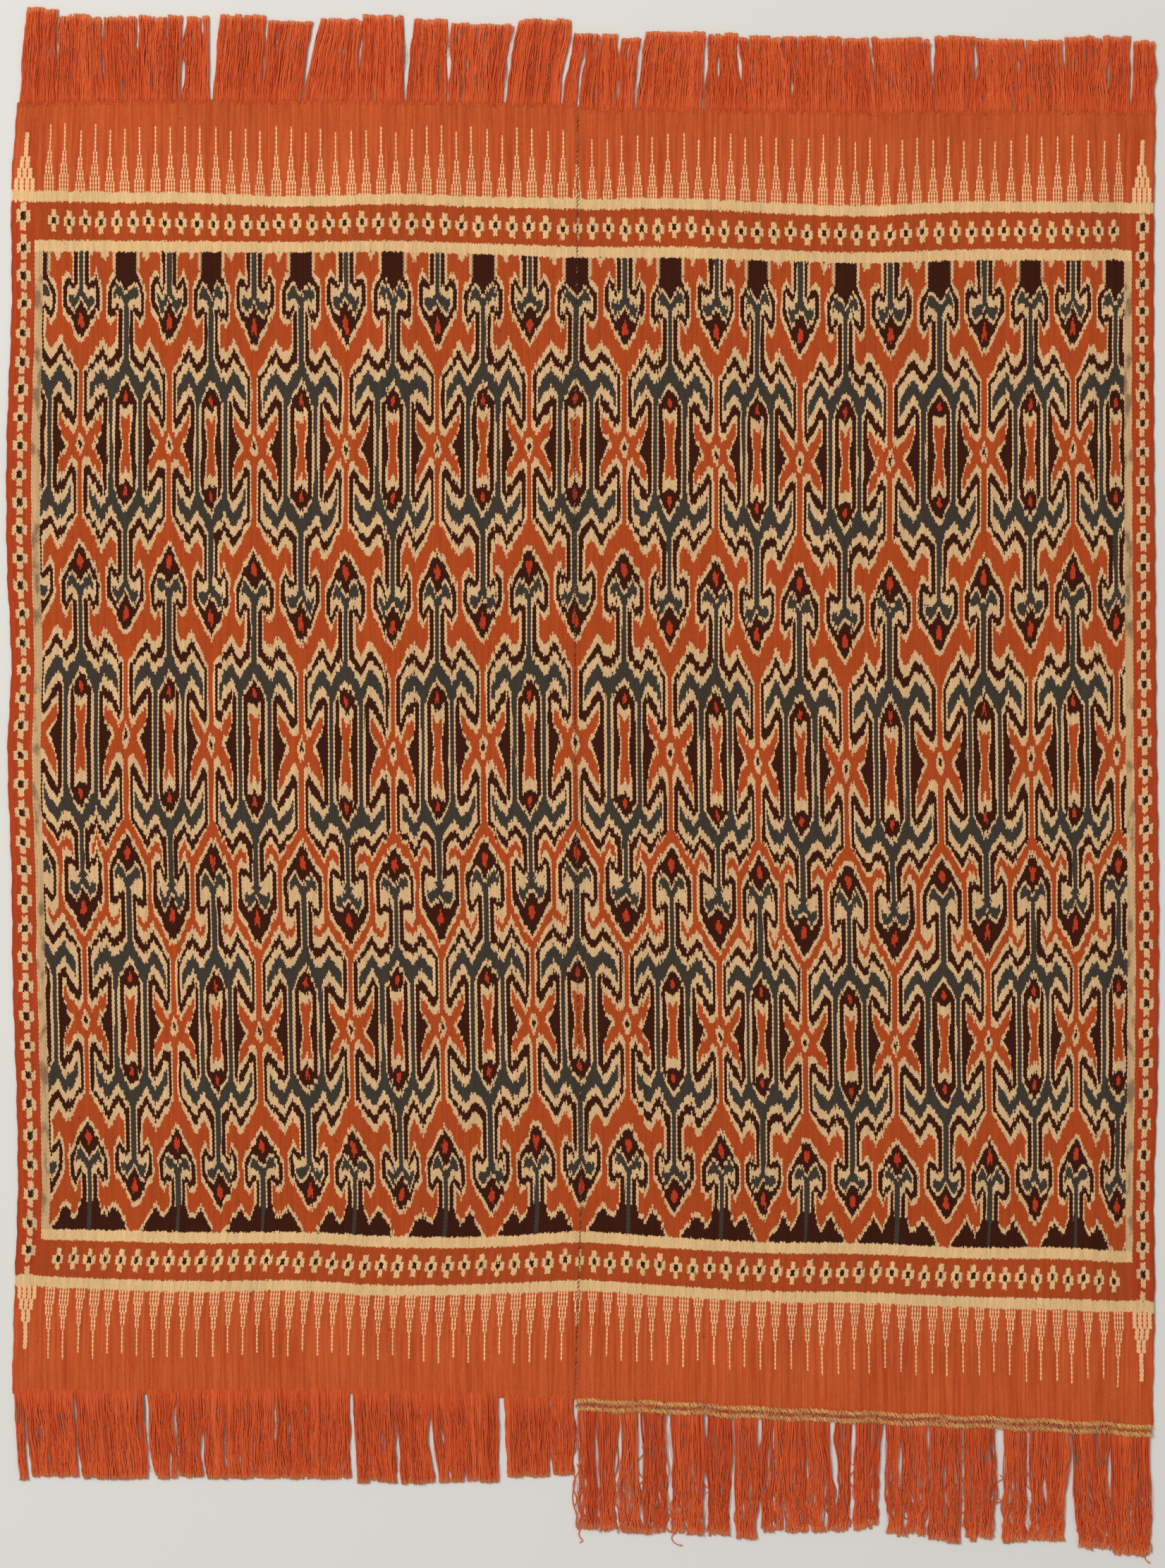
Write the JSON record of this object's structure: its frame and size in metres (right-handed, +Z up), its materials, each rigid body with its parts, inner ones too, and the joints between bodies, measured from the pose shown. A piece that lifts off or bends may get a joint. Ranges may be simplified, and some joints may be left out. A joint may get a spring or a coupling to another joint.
{
  "type": "ikat cloth",
  "caption": "Flat hand-woven warp ikat cloth of two loom-width panels joined by a seam, with fringed ends and a twined gold edging row on one panel.",
  "frame": {"origin": "on the surface the cloth lies on, under the middle of its bounding box", "axes": "+Z up out of the face, +Y along the warp towards the short fringes that the picture shows at the top, +X across the panels towards the panel with the twined row"},
  "size_m": [1.013, 1.364, 0.0028],
  "materials": {
    "ikat_cotton": "matt warp-faced handspun cotton, warp ikat dyed",
    "fringe_cotton": "matt loose handspun yarn",
    "gold_cotton": "matt plied yarn"
  },
  "bodies": {
    "root": {"left_panel": "ikat_cotton", "right_panel": "ikat_cotton", "fringe_top_left": "fringe_cotton", "fringe_top_right": "fringe_cotton", "fringe_bottom_left": "fringe_cotton", "fringe_bottom_right": "fringe_cotton", "twined_row": "gold_cotton"}
  },
  "joints": []
}
